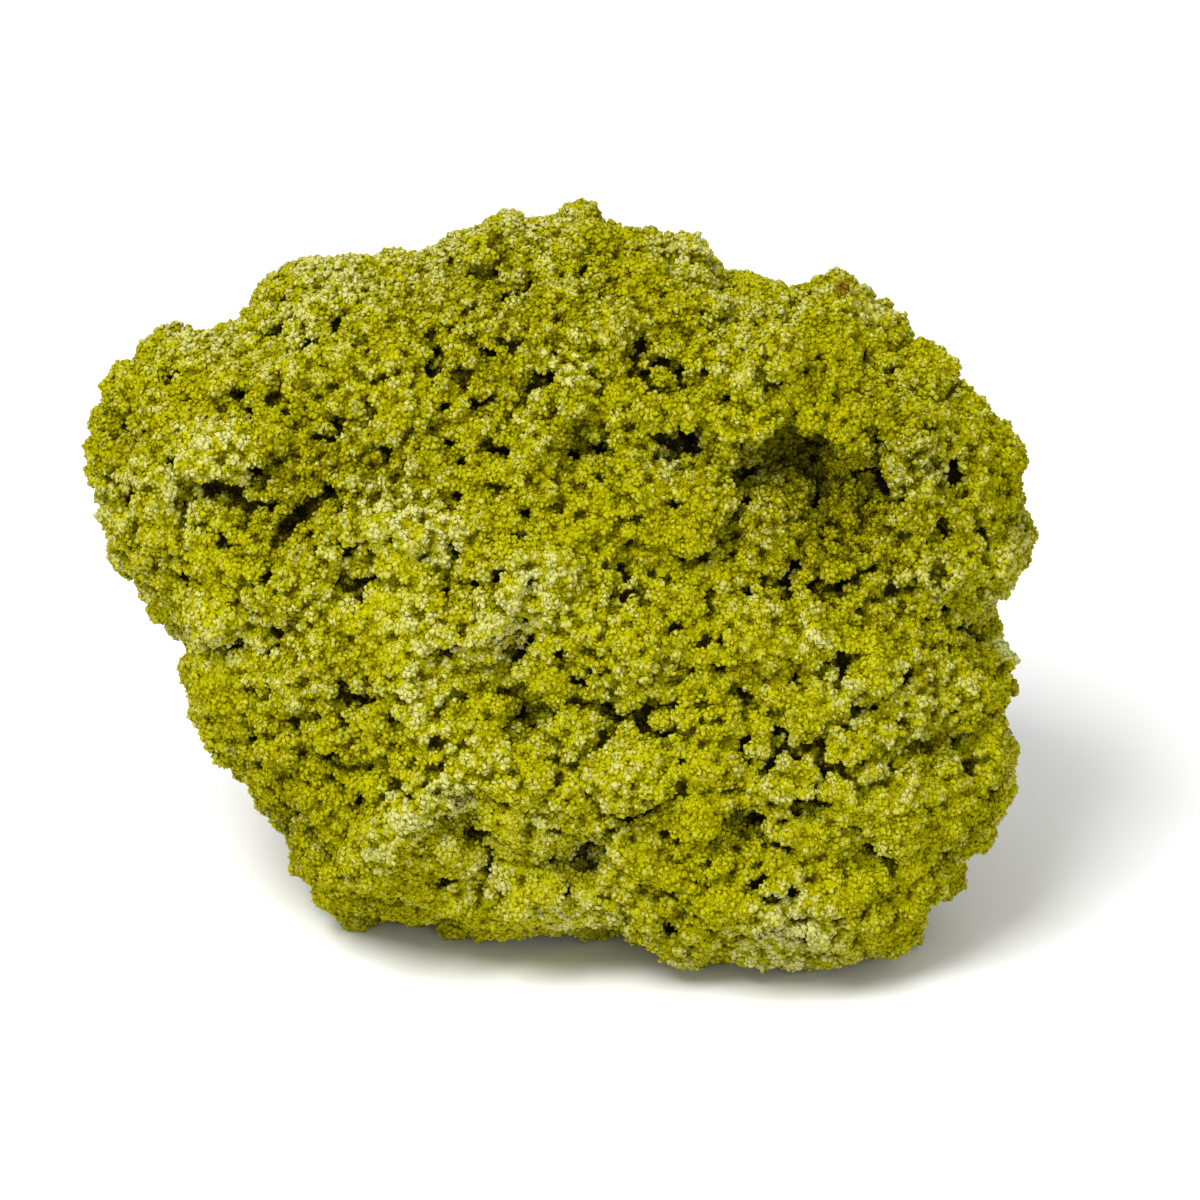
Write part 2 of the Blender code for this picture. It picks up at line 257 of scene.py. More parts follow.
def lumpTree():
    start = newTree("lumps", {"gap": floatKind, "least": floatKind, "most": floatKind, "sunk": floatKind,
                              "crown": floatKind, "core": floatKind, "seed": wholeKind})
    seeds = lumpShape["seeds"]
    points = start.make("GeometryNodeDistributePointsOnFaces", {"distribute_method": "POISSON"},
                        {"Mesh": start, "Distance Min": start.out("gap"), "Density Max": lumpShape["crowd"],
                         "Density Factor": kept(start, "crest").over(*lumpShape["crest"]),
                         "Seed": start.out("seed")})
    even = drawn(start, "FLOAT", (0.0, 1.0), seeds["size"])
    size = start.out("least") + (start.out("most") - start.out("least")) * even ** lumpShape["rarity"]
    sized = keep(points, "size", size)
    size = kept(start, "size")
    inward = start.maths("MAXIMUM", size * start.out("sunk"), size - start.out("crown"))
    inward = (-1 * inward).scaled(points.out("Normal"))
    seated = start.make("GeometryNodeSetPosition", {}, {"Geometry": sized, "Offset": inward})
    ball = start.make("GeometryNodeMeshIcoSphere", {},
                      {"Radius": 1.0, "Subdivisions": lumpShape["roundness"]})
    stretch = drawn(start, "FLOAT_VECTOR", lumpShape["stretch"], seeds["stretch"])
    turn = drawn(start, "FLOAT_VECTOR", lumpShape["turn"], seeds["turn"])
    lumps = start.make("GeometryNodeInstanceOnPoints", {},
                       {"Points": seated, "Instance": ball, "Scale": size.scaled(stretch), "Rotation": turn})
    plain = start.make("GeometryNodeRealizeInstances", {}, {"Geometry": lumps})
    normal = start.make("GeometryNodeInputNormal")
    core = start.make("GeometryNodeSetPosition", {},
                      {"Geometry": start, "Offset": (-1 * start.out("core")).scaled(normal)})
    return endTree(start.make("GeometryNodeJoinGeometry", {}, {0: [plain, core]}))


# what the surface knows about itself: its depth, its crests and its dust

measureSizes = {"wide": 16, "near": 6}  # rounds of blurring that crest and nub are measured against


def measureTree(skin):
    # deep: millimetres under the skin; crest and nub: millimetres above the surface around a point
    start = newTree("measure", {"wide": wholeKind, "near": wholeKind})
    place = start.make("GeometryNodeInputPosition")
    normal = start.make("GeometryNodeInputNormal")
    shell = start.make("GeometryNodeObjectInfo", {}, {"Object": skin}, "Geometry")
    nearest = start.make("GeometryNodeProximity", {}, {0: shell}, "Position")
    facing = start.make("GeometryNodeSampleNearestSurface", {"data_type": "FLOAT_VECTOR"},
                        {"Mesh": shell, "Value": normal}, "Value")
    apart = start.make("ShaderNodeVectorMath", {"operation": "SUBTRACT"}, {0: nearest, 1: place})
    under = start.make("ShaderNodeVectorMath", {"operation": "DOT_PRODUCT"}, {0: apart, 1: facing}, "Value")
    deep = nearest.out("Distance") / mm * start.maths("GREATER_THAN", under, 0.0)
    known = keep(start, "deep", deep)
    for name, steps in (("crest", "wide"), ("nub", "near")):
        around = start.make("GeometryNodeBlurAttribute", {"data_type": "FLOAT_VECTOR"},
                            {0: place, "Iterations": start.out(steps)})
        offset = start.make("ShaderNodeVectorMath", {"operation": "SUBTRACT"}, {0: place, 1: around})
        height = start.make("ShaderNodeVectorMath", {"operation": "DOT_PRODUCT"},
                            {0: offset, 1: normal}, "Value")
        known = keep(known, name, height / mm)
    return endTree(known)


def measure(piece, skin):
    grow(piece, measureTree(skin), measureSizes)
    bake(piece)


# places on the broad face are read on a front view: steps to the right and down
viewStepMm = 0.09
viewMiddle = (560, 590)

# right, down, radius (steps), strength
paleSpots = [
    (330, 300, 80, 0.5), (150, 400, 60, 0.2), (400, 530, 38, 0.7), (450, 550, 34, 0.7),
    (545, 590, 34, 0.75), (500, 630, 28, 0.6), (425, 635, 28, 0.8), (425, 695, 30, 0.9),
    (410, 815, 28, 0.8), (380, 855, 26, 0.7), (460, 795, 24, 0.7), (545, 825, 26, 0.6), (490, 880, 24, 0.6),
    (560, 920, 30, 0.5), (780, 930, 48, 0.8), (815, 645, 28, 0.5), (835, 690, 26, 0.7), (885, 680, 26, 0.4),
    (940, 695, 26, 0.3), (830, 715, 24, 0.4), (580, 375, 30, 0.5), (640, 350, 28, 0.4),
    (228, 448, 38, 0.75), (120, 500, 30, 0.3), (780, 310, 28, 0.5), (880, 320, 28, 0.6),
    (1008, 655, 20, 1.0), (660, 490, 24, 0.4), (985, 600, 30, 0.4), (540, 230, 50, 0.5),
    (430, 270, 50, 0.5), (215, 345, 60, 0.35), (190, 505, 45, 0.6), (340, 600, 50, 0.6),
    (220, 650, 40, 0.45), (500, 755, 36, 0.6), (1000, 560, 30, 0.5), (690, 270, 40, 0.5),
]

# right, down, radius (steps), strength of painted light and shade: above 0 lighter (painted light), below 0
# darker (painted shade)
paintedShadingSpots = [
    # slope under the top
    (500, 315, 75, -1.2), (650, 345, 65, -0.9), (530, 415, 55, -0.8), (350, 355, 50, -0.5),
    # left lobe
    (135, 445, 45, -1.1), (105, 515, 35, -0.8),
    # crease beside it
    (325, 475, 65, -1.5), (295, 535, 45, -1.3), (415, 485, 50, -0.9),
    # around the hollow and on its floor
    (665, 465, 60, -0.8), (795, 480, 55, -1.0), (765, 540, 40, -1.2), (850, 535, 60, -1.9),
    # right side
    (895, 445, 50, -1.2), (905, 750, 40, -0.9),
    # lower left and middle
    (335, 680, 45, -0.9), (285, 830, 50, -1.7), (583, 683, 26, -1.2),
    # crests of the left lobe
    (225, 455, 45, 0.9), (225, 635, 45, 1.6),
    # middle lumps
    (385, 590, 60, 1.5), (570, 600, 60, 1.0), (450, 690, 45, 0.9), (635, 735, 50, 1.4),
    # lower edge
    (475, 825, 60, 1.7), (555, 930, 70, 2.4), (745, 930, 50, 0.7),
    # right lumps
    (845, 690, 45, 1.4), (865, 840, 60, 1.1), (1000, 765, 45, 1.2), (1000, 605, 40, 0.9),
    # rim of the top and of the hollow
    (735, 285, 50, 1.2), (945, 380, 45, 0.9), (700, 430, 30, 0.9),
]

# right, down, half length, half width (steps), turn (degrees), depth (millimetres)
hollows = [
    (792, 482, 50, 38, -10, 4.5), (750, 505, 36, 18, 75, 3.0), (818, 512, 26, 8, 88, 3.0),
    (868, 470, 34, 8, 84, 3.0), (860, 528, 24, 9, 80, 2.6), (685, 448, 42, 9, 8, 2.6),
    (950, 483, 20, 8, 84, 3.0), (972, 455, 16, 7, 5, 3.0), (933, 542, 16, 9, -20, 3.2),
    (972, 546, 17, 8, -8, 3.0), (585, 862, 14, 16, 0, 4.0), (575, 465, 20, 13, 10, 2.4),
    (537, 722, 14, 18, 10, 2.6), (582, 683, 14, 9, 20, 2.6), (605, 718, 18, 8, -15, 2.6),
    (743, 700, 22, 8, -25, 2.6), (790, 685, 14, 9, 10, 3.0), (770, 735, 14, 8, 60, 2.4),
    (858, 716, 24, 9, 15, 2.8), (940, 753, 34, 12, 8, 2.2), (403, 765, 24, 12, 20, 2.6),
    (476, 842, 24, 10, -45, 2.6), (656, 897, 13, 9, 0, 2.6), (862, 853, 14, 9, 10, 2.8),
    (730, 830, 24, 12, 20, 2.2), (445, 928, 20, 8, 10, 2.0), (330, 765, 34, 10, -10, 1.8),
    (500, 283, 24, 12, 20, 1.6), (862, 370, 14, 8, 0, 2.2), (760, 398, 26, 8, -8, 2.0),
    (360, 308, 24, 9, 10, 1.4), (779, 587, 15, 9, 10, 3.0), (671, 583, 18, 8, -20, 2.8),
    (886, 609, 26, 7, 5, 2.6), (855, 660, 9, 8, 0, 2.8), (854, 549, 9, 8, 0, 2.8),
    (628, 554, 13, 8, 5, 3.0), (832, 593, 10, 9, 30, 2.6), (925, 632, 22, 8, 10, 2.0),
    (770, 630, 16, 9, -10, 2.4), (440, 300, 20, 8, 15, 1.6), (240, 555, 26, 9, 10, 1.6),
    (215, 500, 30, 10, 5, 1.8), (285, 490, 26, 10, -8, 2.2), (345, 505, 20, 9, 0, 2.2),
]

stains = [(838, 299, 8, 1.0), (772, 362, 6, 0.8)]
patches = [(1004, 652, 13, 1.0)]

# right, down of the small pits
pits = [
    (271, 482), (265, 520), (245, 411), (439, 370), (534, 302), (635, 310), (445, 457), (399, 491),
    (369, 456), (593, 551), (530, 528), (454, 603), (352, 561), (471, 387), (484, 369), (519, 254),
    (872, 495), (817, 508), (973, 545), (734, 548), (855, 372), (749, 402), (686, 356), (832, 595),
    (460, 638), (519, 682), (352, 690), (306, 730), (367, 802), (384, 887), (532, 911), (241, 651),
    (660, 703), (859, 663), (922, 756), (832, 802), (792, 807), (830, 868), (739, 825), (706, 867),
    (675, 916), (812, 752), (626, 716), (922, 650), (830, 315),
]
pitSizes = {
    "broad": 12,  # a hollow with at least this half width goes into the skin, before the clusters grow
    "wide": (5, 9), "long": (1.0, 2.2), "turn": (-60, 60), "depth": (1.8, 3.0),
    "slant": 0.25, "edge": (-1.3, -0.6), "fade": (-4, 2), "seed": 6,
}
# what makes the pits' edges wander: size (millimetres), then waves along the face and out of it
sways = {"across": [(0.40, 2.3, 1.1), (0.25, 4.9, 2.0)], "up": [(0.40, 2.6, 0.7), (0.25, 5.3, 1.7)]}
fades = {"ahead": (-3, 1), "rim": (-6, -2), "front": (-8, -1)}  # millimetres out of the broad face


def onFace(right, down):
    return (right - viewMiddle[0]) * viewStepMm, (viewMiddle[1] - down) * viewStepMm


def toFace(places):
    # world millimetres to across, up and out of the broad face
    x, y, z = (places - np.array(faceOriginMm)).T
    return x, y * math.sin(lean) + z * math.cos(lean), z * math.sin(lean) - y * math.cos(lean)


def pointsOf(mesh):
    places = np.empty(len(mesh.vertices) * 3, dtype=np.float32)
    mesh.vertices.foreach_get("co", places)
    return places.reshape(-1, 3)


def eased(value, low, high):
    share = np.clip((value - low) / (high - low), 0, 1)
    return share * share * (3 - 2 * share)


def smallPits():
    draw = np.random.default_rng(pitSizes["seed"])
    small = []
    for right, down in pits:
        wide = draw.uniform(*pitSizes["wide"])
        small.append((right, down, wide * draw.uniform(*pitSizes["long"]), wide,
                      draw.uniform(*pitSizes["turn"]), draw.uniform(*pitSizes["depth"])))
    return small


def swayed(waves, along, out):
    return sum(size * np.sin(a * way + b * out) for (size, a, b), way in zip(waves, along))


def sinkPits(mesh, places):
    # push the pits into the broad face, a little upwards so that their upper edges hang over
    across, up, out = toFace(pointsOf(mesh) / mm)
    swayA = swayed(sways["across"], (up, across), out)
    swayU = swayed(sways["up"], (across, up), out)
    depth = np.zeros(len(across))
    for right, down, length, width, turn, deepest in places:
        a, u = onFace(right, down)
        c, s = math.cos(math.radians(turn)), math.sin(math.radians(turn))
        along = ((across + swayA - a) * c + (up + swayU - u) * s) / (length * viewStepMm)
        beside = ((up + swayU - u) * c - (across + swayA - a) * s) / (width * viewStepMm)
        depth = np.maximum(depth, deepest * eased(-np.hypot(along, beside), *pitSizes["edge"]))
    depth *= eased(out, *pitSizes["fade"])
    push = np.column_stack((np.zeros(len(depth)), depth, pitSizes["slant"] * depth))
    mesh.vertices.foreach_set("co", (pointsOf(mesh) + push * mm).ravel())
    mesh.update()


def spots(places, across, up):
    # how strong each spot is at every point
    shares = []
    for right, down, radius, strength in places:
        a, u = onFace(right, down)
        shares.append(strength * np.exp(-((across - a) ** 2 + (up - u) ** 2) / (radius * viewStepMm) ** 2))
    return shares


def paint(mesh):
    across, up, out = toFace(pointsOf(mesh) / mm)
    ahead = eased(out, *fades["ahead"])
    # dust, stain and patch are the mineral's own colours; the spots of painted light and shade go into a
    # layer of their own
    layers = {"dust": ahead * np.max(spots(paleSpots, across, up), axis=0),
              "shade": ahead * np.sum(spots(paintedShadingSpots, across, up), axis=0),
              "stain": ahead * np.max(spots(stains, across, up), axis=0),
              "patch": eased(out, *fades["rim"]) * np.max(spots(patches, across, up), axis=0),
              "front": eased(out, *fades["front"])}
    for name, values in layers.items():
        layer = mesh.attributes.new(name, "FLOAT", "POINT")
        layer.data.foreach_set("value", values.astype(np.float32))


def flatten(mesh):
    # nothing reaches below the flat base
    places = pointsOf(mesh)
    places[:, 2] = np.maximum(places[:, 2], 0)
    mesh.vertices.foreach_set("co", places.ravel())
    mesh.update()


swellSizes = {"size": 5.0 * mm, "depth": 1.1 * mm, "from": 0.50, "to": 0.72}


def swellTree():
    # shallow valleys all over
    start = newTree("swell", {"size": floatKind, "depth": floatKind, "from": floatKind, "to": floatKind})
    wave = start.make("ShaderNodeTexNoise", {}, {"Vector": start.make("GeometryNodeInputPosition"),
                                                 "Scale": 1 / start.out("size"), "Detail": 1.0}, 0)
    depth = start.out("depth") * wave.over(start.out("from"), start.out("to"))
    normal = start.make("GeometryNodeInputNormal")
    return endTree(start.make("GeometryNodeSetPosition", {},
                              {"Geometry": start, "Offset": (-1 * depth).scaled(normal)}))


def makeBody(skin):
    body = newPiece("body", skin.data.copy())
    grow(body, swellTree(), swellSizes)
    bake(body)
    tree = lumpTree()
    for name, stage in lumpSizes.items():
        if name == "nubs":
            narrow = [place for place in hollows if place[3] < pitSizes["broad"]]
            sinkPits(body.data, narrow + smallPits())
            measure(body, skin)
        grow(body, tree, stage)
        fuse(body, stage["voxel"])
        bake(body)
    measure(body, skin)
    print("surface", len(body.data.polygons))
    return body


# crumbs: the grains of the mineral, on the clusters

crumbSizes = {"gap": 0.48 * mm, "least": 0.23 * mm, "most": 0.43 * mm, "sunk": 0.30, "thinning": 0.65,
              "seed": 4, "foot": 0.2 * mm, "shapes": 8, "roughness": 0.24, "pieces": 5}
crumbShape = {
    "rings": ((0.5, 0.8, 3, 0.5), (1.0, 0.0, 6, 0.0)),  # reach, height, corners, first corner
    "shapeSeed": 2,
    "crowd": 2.5e7,  # crumbs a square metre, so many that the gap alone sets how far apart they are
    "deep": (1.8, 2.8), "deepThinning": 0.7,  # fewer crumbs this far under the skin, in millimetres
    "nub": (-0.32, -0.14),  # millimetres: none grow in gaps lower than the first
    "behind": 0.5,  # how much larger they get at the back, for each share that is thinned out
    "stretch": ((0.7, 0.7, 0.7), (1.25, 1.25, 1.25)),
    "seeds": {"size": 1, "tint": 2, "stretch": 11, "spin": 5, "shape": 21},
}


def makeCrumbShapes():
    # low domes with a blunt top of three corners on a ring of six, each a little different
    draw = np.random.default_rng(crumbShape["shapeSeed"])
    rough = crumbSizes["roughness"]
    shapes = bpy.data.collections.new("crumbShapes")
    bpy.context.scene.collection.children.link(shapes)
    top = [(0, 1, 2)]
    side = []
    for i in range(3):
        ring, after = 3 + 2 * i, 3 + (2 * i + 2) % 6
        side += [(i, ring, ring + 1), (i, ring + 1, (i + 1) % 3), ((i + 1) % 3, ring + 1, after)]
    base = [(3, 5, 4), (3, 6, 5), (3, 7, 6), (3, 8, 7)]
    for i in range(crumbSizes["shapes"]):
        corners = []
        for reach, height, count, first in crumbShape["rings"]:
            for turn in range(count):
                out = reach * (1 + rough * draw.uniform(-1, 1))
                angle = (turn + first) * 2 * math.pi / count + 0.5 * rough * draw.uniform(-1, 1)
                corners.append((out * math.cos(angle), out * math.sin(angle),
                                height + rough * draw.uniform(-1, 1)))
        mesh = bpy.data.meshes.new("crumbShape")
        mesh.from_pydata(corners, [], top + side + base)
        shapes.objects.link(bpy.data.objects.new(f"crumbShape{i}", mesh))
    return shapes


def crumbTree(shapes):
    start = newTree("crumbs", {"gap": floatKind, "thinning": floatKind, "least": floatKind,
                               "most": floatKind, "sunk": floatKind, "foot": floatKind, "seed": wholeKind,
                               "from": floatKind, "to": floatKind, "material": "NodeSocketMaterial"})
    seeds = crumbShape["seeds"]
    behind = 1 - kept(start, "front")
    density = ((1 - start.out("thinning") * behind)
               * (1 - crumbShape["deepThinning"] * kept(start, "deep").over(*crumbShape["deep"]))
               * kept(start, "nub").over(*crumbShape["nub"]))
    points = start.make("GeometryNodeDistributePointsOnFaces", {"distribute_method": "POISSON"},
                        {"Mesh": start, "Distance Min": start.out("gap"), "Density Max": crumbShape["crowd"],
                         "Density Factor": density, "Seed": start.out("seed")})
    place = start.make("GeometryNodeInputPosition")
    parts = start.make("ShaderNodeSeparateXYZ", {}, {0: place})
    above = keep(points, "outward", points.out("Normal"), "FLOAT_VECTOR")
    above = above.make("GeometryNodeDeleteGeometry", {"domain": "POINT"},
                       {"Geometry": above, "Selection": start.maths("LESS_THAN", parts.out("Z"),
                                                                    start.out("foot"))})
    ordered = start.make("GeometryNodeSortElements", {"domain": "POINT"},
                         {"Geometry": above, "Sort Weight": start.maths("ARCTAN2", parts.out("Y"), parts)})
    count = start.make("GeometryNodeAttributeDomainSize", {"component": "POINTCLOUD"},
                       {0: ordered}, "Point Count")
    share = (start.make("GeometryNodeInputIndex") + 0.5) / count
    outside = (start.maths("LESS_THAN", share, start.out("from"))
               + start.maths("GREATER_THAN", share, start.out("to")))
    mine = start.make("GeometryNodeDeleteGeometry", {"domain": "POINT"},
                      {"Geometry": ordered, "Selection": outside})
    even = drawn(start, "FLOAT", (0.0, 1.0), seeds["size"])
    size = start.out("least") + (start.out("most") - start.out("least")) * even
    size = size * (1 + start.out("thinning") * crumbShape["behind"] * behind)
    mine = keep(mine, "tint", drawn(start, "FLOAT", (0.0, 1.0), seeds["tint"]))
    mine = keep(mine, "size", size)
    size = kept(start, "size")
    outward = kept(start, "outward", "FLOAT_VECTOR")
    inward = (-1 * size * start.out("sunk")).scaled(outward)
    seated = mine.make("GeometryNodeSetPosition", {}, {"Geometry": mine, "Offset": inward})
    seated = keep(seated, "middle", place, "FLOAT_VECTOR")
    shape = start.make("GeometryNodeCollectionInfo", {}, {"Collection": shapes, "Separate Children": True,
                                                          "Reset Children": True})
    stretch = drawn(start, "FLOAT_VECTOR", crumbShape["stretch"], seeds["stretch"])
    upright = start.make("FunctionNodeAlignRotationToVector", {"axis": "Z"}, {"Vector": outward})
    spin = start.make("FunctionNodeAxisAngleToRotation", {},
                      {"Axis": (0, 0, 1), "Angle": drawn(start, "FLOAT", (0.0, fullTurn), seeds["spin"])})
    turned = start.make("FunctionNodeRotateRotation", {"rotation_space": "LOCAL"}, {0: upright, 1: spin})
    chosen = drawn(start, "INT", (0, crumbSizes["shapes"] - 1), seeds["shape"])
    crumbs = start.make("GeometryNodeInstanceOnPoints", {},
                        {"Points": seated, "Instance": shape, "Pick Instance": True,
                         "Instance Index": chosen, "Scale": size.scaled(stretch), "Rotation": turned})
    plain = start.make("GeometryNodeRealizeInstances", {}, {"Geometry": crumbs})
    offset = start.make("ShaderNodeVectorMath", {"operation": "SUBTRACT"},
                        {0: place, 1: kept(start, "middle", "FLOAT_VECTOR")})
    height = start.make("ShaderNodeVectorMath", {"operation": "DOT_PRODUCT"},
                        {0: offset, 1: outward}, "Value")
    # rise: how high a point sits on its crumb; the material paints crumb tops lighter and their lower sides
    # darker with it (painted highlight and painted shade)
    plain = keep(plain, "rise", (height / size * 0.5 + 0.5).clipped())
    for name in ("middle", "outward", "size"):
        plain = plain.make("GeometryNodeRemoveAttribute", {}, {0: plain, "Name": name})
    smooth = plain.make("GeometryNodeSetShadeSmooth", {}, {"Geometry": plain})
    return endTree(smooth.make("GeometryNodeSetMaterial", {}, {0: smooth, "Material": start.out("material")}))


def growCrumbs(body, material):
    shapes = makeCrumbShapes()
    tree = crumbTree(shapes)
    pieces = []
    chosen = {key: crumbSizes[key] for key in ("gap", "thinning", "least", "most", "sunk", "foot", "seed")}
    count = crumbSizes["pieces"]
    for i in range(count):
        crumbs = newPiece(f"crumbs_{i + 1}", body.data.copy())
        grow(crumbs, tree, {**chosen, "from": i / count, "to": (i + 1) / count, "material": material})
        bake(crumbs)
        flatten(crumbs.data)
        pieces.append(crumbs)
        print(crumbs.name, len(crumbs.data.polygons))
    drop(*shapes.objects)
    bpy.data.collections.remove(shapes)
    return pieces


# the body under the crumbs

bodySizes = {"faces": 180000, "scrap": 50, "sunk": 0.05 * mm, "rise": 0.45, "tint": 0.5}


def groundTree():
    start = newTree("ground", {"sunk": floatKind, "rise": floatKind, "tint": floatKind,
                               "material": "NodeSocketMaterial"})
    normal = start.make("GeometryNodeInputNormal")
    lower = start.make("GeometryNodeSetPosition", {},
                       {"Geometry": start, "Offset": (-1 * start.out("sunk")).scaled(normal)})
    lower = keep(lower, "tint", start.out("tint"))
    # the body takes one middling rise, so it sits in the middle of the painted light and shade of the crumbs
    lower = keep(lower, "rise", start.out("rise"))
    smooth = lower.make("GeometryNodeSetShadeSmooth", {}, {"Geometry": lower})
    return endTree(smooth.make("GeometryNodeSetMaterial", {}, {0: smooth, "Material": start.out("material")}))


def dropScraps(mesh):
    # thinning leaves a few slivers on their own
    bm = bmesh.new()
    bm.from_mesh(mesh)
    seen, scraps = set(), []
    for first in bm.verts:
        if first in seen:
            continue
        seen.add(first)
        group, waiting = [first], [first]
        while waiting:
            for edge in waiting.pop().link_edges:
                for other in edge.verts:
                    if other not in seen:
                        seen.add(other)
                        group.append(other)
                        waiting.append(other)
        if len(group) < bodySizes["scrap"]:
            scraps += group
    print("scraps", len(scraps))
    bmesh.ops.delete(bm, geom=scraps, context="VERTS")
    bm.to_mesh(mesh)
    bm.free()


def finishBody(body, material):
    thin = body.modifiers.new("thin", "DECIMATE")
    thin.ratio = bodySizes["faces"] / (2 * len(body.data.polygons))  # fusing leaves faces of four sides
    bake(body)
    dropScraps(body.data)
    chosen = {key: bodySizes[key] for key in ("sunk", "rise", "tint")}
    grow(body, groundTree(), {**chosen, "material": material})
    bake(body)


# material

# the stops from gap to bright are one olive colour under painted shade and painted light, darkest in the
# gaps; pale, stain and patch are the mineral's own colours
finish = {
    "gap": (0.030, 0.024, 0.001), "shade": (0.130, 0.117, 0.001), "olive": (0.290, 0.273, 0.001),
    "yellow": (0.385, 0.368, 0.003), "bright": (0.440, 0.423, 0.024), "pale": (0.490, 0.481, 0.150),
    "stain": (0.150, 0.075, 0.006), "patch": (0.450, 0.465, 0.150),
    "roughness": 1.0, "specular": 0.0,
    "stops": ((0.0, "gap"), (0.25, "shade"), (0.50, "olive"), (0.75, "yellow"), (1.0, "bright")),
}
grainNoise = {"broad": (9 * mm, 0.0), "middling": (1.3 * mm, 2.0), "fine": (0.24 * mm, 1.0)}  # size, detail
cellNoise = {"size": 0.50 * mm, "middle": 0.45}
relief = {"distance": 0.13 * mm, "fine": 0.5}

# from and to of each measure, in millimetres for sunken, crested and raised
steps = {"sunken": (0.6, 1.9), "crested": (-0.30, 0.30), "raised": (-0.17, 0.05), "rise": (0.3, 0.8),
         "pale": (0.60, 0.94), "stain": (0.25, 0.7), "patch": (0.2, 0.8)}

# how much each thing lightens a place in the painted light and shade (rise, crested and raised lighter,
# sunken and cells darker, the spots either way; tint and the noises are the mineral's own tone), and how much
# pale crust it gives
lightShares = {"rise": 0.08, "crested": 0.16, "raised": 0.26, "sunken": -0.50, "shade": 0.12, "tint": 0.10,
               "middling": 0.40, "fine": 0.45, "cells": -0.45}
baseLight = 0.195
crustShares = {"dust": 0.45, "broad": 0.5, "web": 0.40, "fine": 0.35, "crested": 0.5, "raised": 0.3}
crust = {"web": 6, "most": 0.95}
mottle = {"stain": (0.3, 1.2), "patch": (0.6, 0.8)}  # least, and how much the fine noise adds


def mixed(shares, parts, total):
    # the parts added up, each by its share
    for name, part in parts.items():
        total = total + shares[name] * part
    return total


def makeMaterial():
    material = bpy.data.materials.new("nontronite")
    material.use_nodes = True
    tree = material.node_tree
    surface = tree.nodes["Principled BSDF"]
    start = Wire(tree, tree.nodes.new("ShaderNodeTexCoord"), "Object")

    def layer(name):
        return start.make("ShaderNodeAttribute", {"attribute_name": name}, {}, "Fac")

    def cloud(name):
        size, detail = grainNoise[name]
        return start.make("ShaderNodeTexNoise", {}, {"Vector": start, "Scale": 1 / size, "Detail": detail}, 0)

    rise, deep, crest, nub, tint = (layer(name) for name in ("rise", "deep", "crest", "nub", "tint"))
    dust, shade, stain, patch = (layer(name) for name in ("dust", "shade", "stain", "patch"))
    broad, middling, fine = cloud("broad"), cloud("middling"), cloud("fine")
    cells = start.make("ShaderNodeTexVoronoi", {"feature": "F1"},
                       {"Vector": start, "Scale": 1 / cellNoise["size"]}, "Distance")
    sunken = deep.over(*steps["sunken"])
    crested = crest.over(*steps["crested"])
    raised = nub.over(*steps["raised"])
    # light: painted light and shade, lighter on crests, nubs and crumb tops, darker in sunken places and at
    # the edges of the cells, with the painted spots and the mineral's own random tone
    light = mixed(lightShares, {
        "rise": rise.over(*steps["rise"]), "crested": crested, "raised": raised, "sunken": sunken,
        "shade": shade, "tint": tint - 0.5, "middling": middling - 0.5, "fine": fine - 0.5,
        "cells": cells - cellNoise["middle"]}, baseLight)
    # the painted light and shade turned into one olive colour, from the gap colour to bright
    colour = light.make("ShaderNodeValToRGB",
                        {"stops": [(place, finish[name]) for place, name in finish["stops"]]},
                        {"Fac": light.clipped()})
    web = 1 - crust["web"] * start.maths("ABSOLUTE", middling - 0.5)
    dusted = mixed(crustShares, {
        "dust": dust, "broad": broad - 0.5, "web": web, "fine": fine - 0.5, "crested": crested - 0.5,
        "raised": raised - 0.5}, 0.0)
    pale = dusted.over(*steps["pale"]) * (1 - sunken) * crust["most"]
    colour = pale.blended(colour, (*finish["pale"], 1))
    for name, spot in (("stain", stain), ("patch", patch)):
        least, more = mottle[name]
        share = (spot * (least + more * fine)).over(*steps[name])
        colour = share.blended(colour, (*finish[name], 1))
    bump = start.make("ShaderNodeBump", {}, {"Strength": 1.0, "Distance": relief["distance"],
                                             "Height": relief["fine"] * fine - cells * cells})
    tree.links.new(colour.socket, surface.inputs["Base Color"])
    tree.links.new(bump.socket, surface.inputs["Normal"])
    surface.inputs["Roughness"].default_value = finish["roughness"]
    surface.inputs["Specular IOR Level"].default_value = finish["specular"]
    return material


# camera, floor and light

view = {"aimMm": (3.75, -2.76, 29.80), "distance": 0.60, "frameWidth": 0.108, "nearest": 0.01}


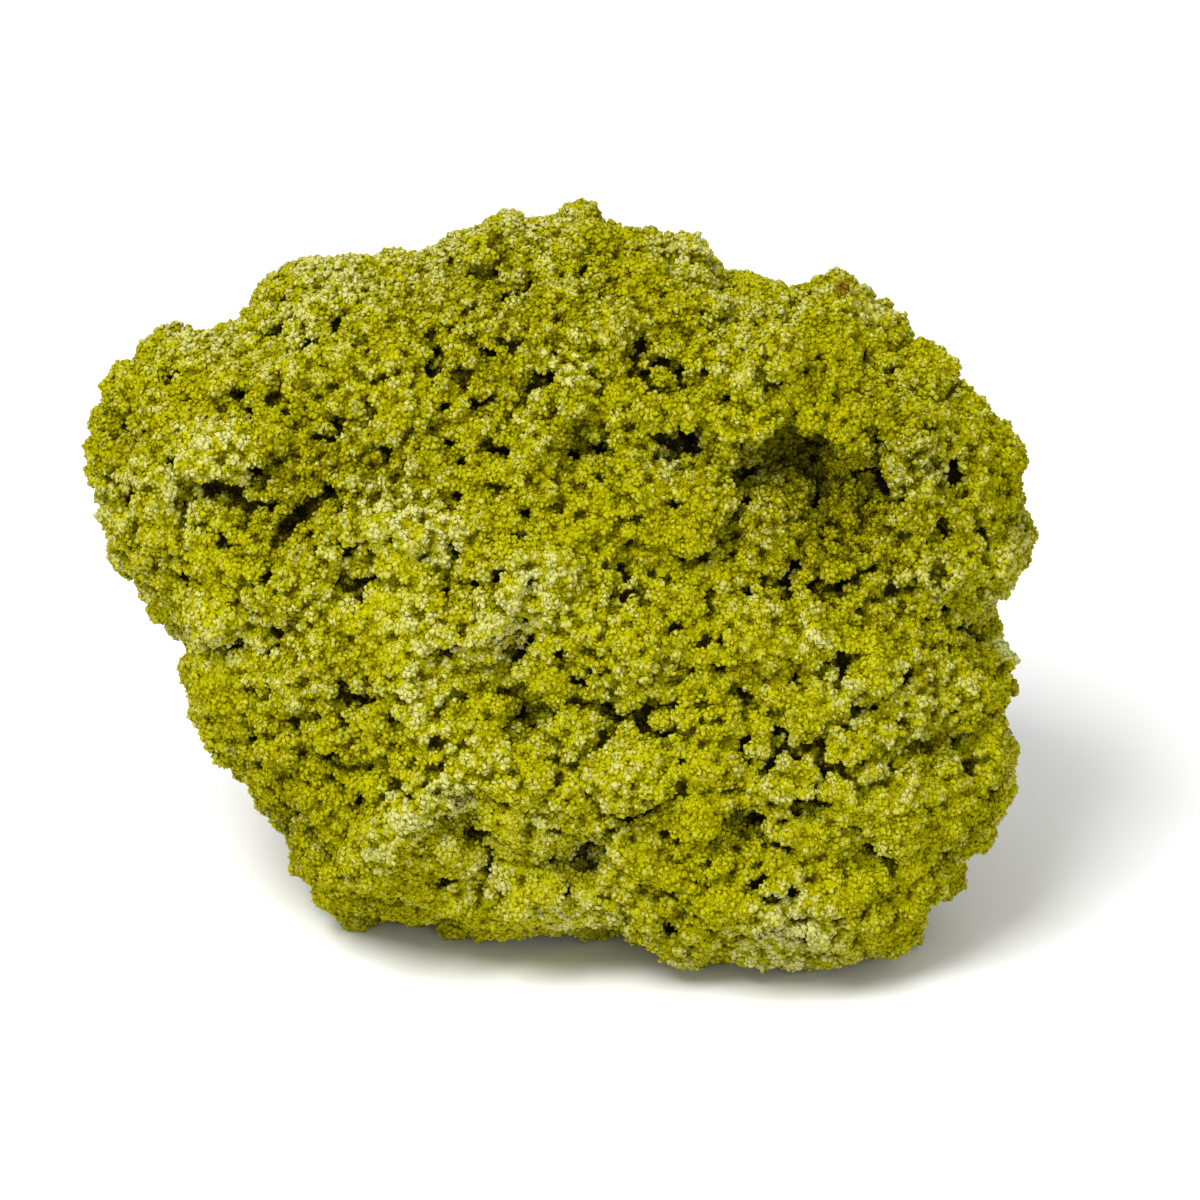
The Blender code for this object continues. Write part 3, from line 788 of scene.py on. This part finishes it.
def makeCamera():
    camera = bpy.data.objects.new("camera", bpy.data.cameras.new("camera"))
    bpy.context.scene.collection.objects.link(camera)
    forward = Vector((0, math.cos(lean), -math.sin(lean)))
    camera.location = Vector(view["aimMm"]) * mm - forward * view["distance"]
    camera.rotation_euler = forward.to_track_quat("-Z", "Y").to_euler()
    camera.data.lens = camera.data.sensor_width * view["distance"] / view["frameWidth"]
    camera.data.clip_start = view["nearest"]
    bpy.context.scene.camera = camera


def plainMaterial(name, colour, roughness):
    material = bpy.data.materials.new(name)
    material.use_nodes = True
    surface = material.node_tree.nodes["Principled BSDF"]
    surface.inputs["Base Color"].default_value = (*colour, 1)
    surface.inputs["Roughness"].default_value = roughness
    return material


floorLook = {"size": 6, "colour": (0.93, 0.93, 0.93), "roughness": 0.8}


def makeFloor():
    bpy.ops.mesh.primitive_plane_add(size=floorLook["size"])
    floor = bpy.context.object
    floor.name = "floor"
    floor.data.materials.append(plainMaterial("floor", floorLook["colour"], floorLook["roughness"]))


lamps = {
    "key": {"place": (-0.20, -0.34, 0.55), "size": 0.30, "power": 4.8},
    "fill": {"place": (0.10, -0.65, 0.08), "size": 0.50, "power": 1.1},
}
lampAim = (0, 0, 0.03)
skyStrength = 0.7


def makeLight():
    world = bpy.data.worlds.new("studio")
    world.use_nodes = True
    world.node_tree.nodes["Background"].inputs["Color"].default_value = (1, 1, 1, 1)
    world.node_tree.nodes["Background"].inputs["Strength"].default_value = skyStrength
    bpy.context.scene.world = world
    for name, lamp in lamps.items():
        light = bpy.data.lights.new(name, "AREA")
        light.size = lamp["size"]
        light.energy = lamp["power"]
        holder = bpy.data.objects.new(name, light)
        bpy.context.scene.collection.objects.link(holder)
        holder.location = lamp["place"]
        towards = Vector(lampAim) - Vector(lamp["place"])
        holder.rotation_euler = towards.to_track_quat("-Z", "Y").to_euler()
    bpy.context.scene.view_settings.view_transform = "Standard"


# making

node = frame["nodes"]["nontronite"]
material = makeMaterial()
skin = makeSkin(node)
body = makeBody(skin)
paint(body.data)
crumbs = growCrumbs(body, material)
finishBody(body, material)
flatten(body.data)
print("body", len(body.data.polygons))
drop(skin)
for piece in [body, *crumbs]:
    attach(piece, "root")
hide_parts("nontronite")
makeCamera()
makeFloor()
makeLight()
